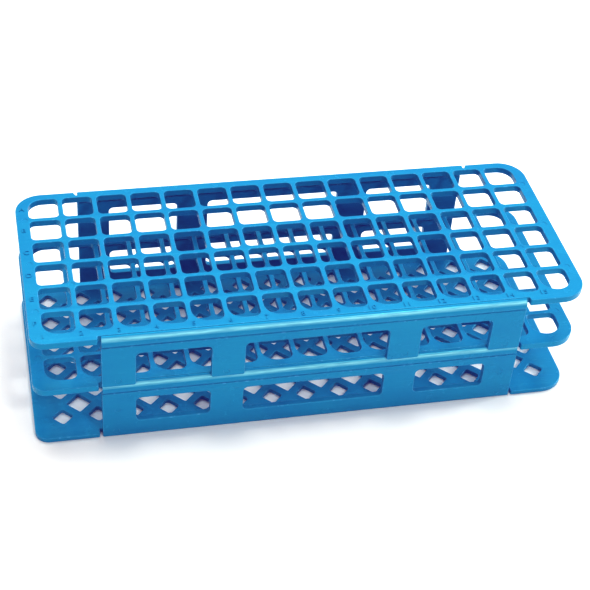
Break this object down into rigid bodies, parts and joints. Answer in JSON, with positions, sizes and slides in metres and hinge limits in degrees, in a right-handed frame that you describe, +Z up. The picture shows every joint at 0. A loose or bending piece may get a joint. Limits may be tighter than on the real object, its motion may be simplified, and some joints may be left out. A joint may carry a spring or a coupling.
{
  "type": "test tube rack",
  "caption": "Flat-pack plastic test tube rack: two tiers of square holes on folding windowed side panels above a drained base plate.",
  "frame": {"origin": "centre of the rack's footprint, on the surface that it stands on", "axes": "+X along the rack's length towards the high column numbers, +Y from the numbered front rim to the rear, +Z up"},
  "size_m": [0.246, 0.1046, 0.0586],
  "materials": {
    "rack_plastic": "semi-gloss moulded polypropylene, bright blue"
  },
  "bodies": {
    "base": {"base_plate": "rack_plastic"},
    "middle_tier": {"middle_plate_rim": "rack_plastic", "middle_plate_cross_ribs": "rack_plastic", "middle_plate_long_ribs": "rack_plastic", "middle_front_hinge": "rack_plastic", "middle_rear_hinge": "rack_plastic"},
    "top_tier": {"top_plate_rim": "rack_plastic", "top_plate_cross_ribs": "rack_plastic", "top_plate_long_ribs": "rack_plastic", "top_front_hinge": "rack_plastic", "top_rear_hinge": "rack_plastic", "column_numerals": "rack_plastic", "row_letters": "rack_plastic"},
    "lower_front_panel": {"lower_front_panel": "rack_plastic"},
    "lower_rear_panel": {"lower_rear_panel": "rack_plastic"},
    "upper_front_panel": {"upper_front_panel": "rack_plastic"},
    "upper_rear_panel": {"upper_rear_panel": "rack_plastic"}
  },
  "joints": [
    {"name": "middle_tier_lift", "type": "slide", "parent": "base", "child": "middle_tier", "axis": [0, 0, 1], "range_m": [0, 0.06]},
    {"name": "top_tier_lift", "type": "slide", "parent": "middle_tier", "child": "top_tier", "axis": [0, 0, 1], "range_m": [0, 0.06]},
    {"name": "lower_front_fold", "type": "hinge", "parent": "middle_tier", "child": "lower_front_panel", "pos_m": [0, -0.0514, 0.0304], "axis": [-1, 0, 0], "range_deg": [0, 90], "deforming": ["middle_front_hinge"]},
    {"name": "lower_rear_fold", "type": "hinge", "parent": "middle_tier", "child": "lower_rear_panel", "pos_m": [0, 0.0514, 0.0304], "axis": [1, 0, 0], "range_deg": [0, 90], "deforming": ["middle_rear_hinge"]},
    {"name": "upper_front_fold", "type": "hinge", "parent": "top_tier", "child": "upper_front_panel", "pos_m": [0, -0.0514, 0.05715], "axis": [-1, 0, 0], "range_deg": [0, 90], "deforming": ["top_front_hinge"]},
    {"name": "upper_rear_fold", "type": "hinge", "parent": "top_tier", "child": "upper_rear_panel", "pos_m": [0, 0.0514, 0.05715], "axis": [1, 0, 0], "range_deg": [0, 90], "deforming": ["top_rear_hinge"]}
  ]
}
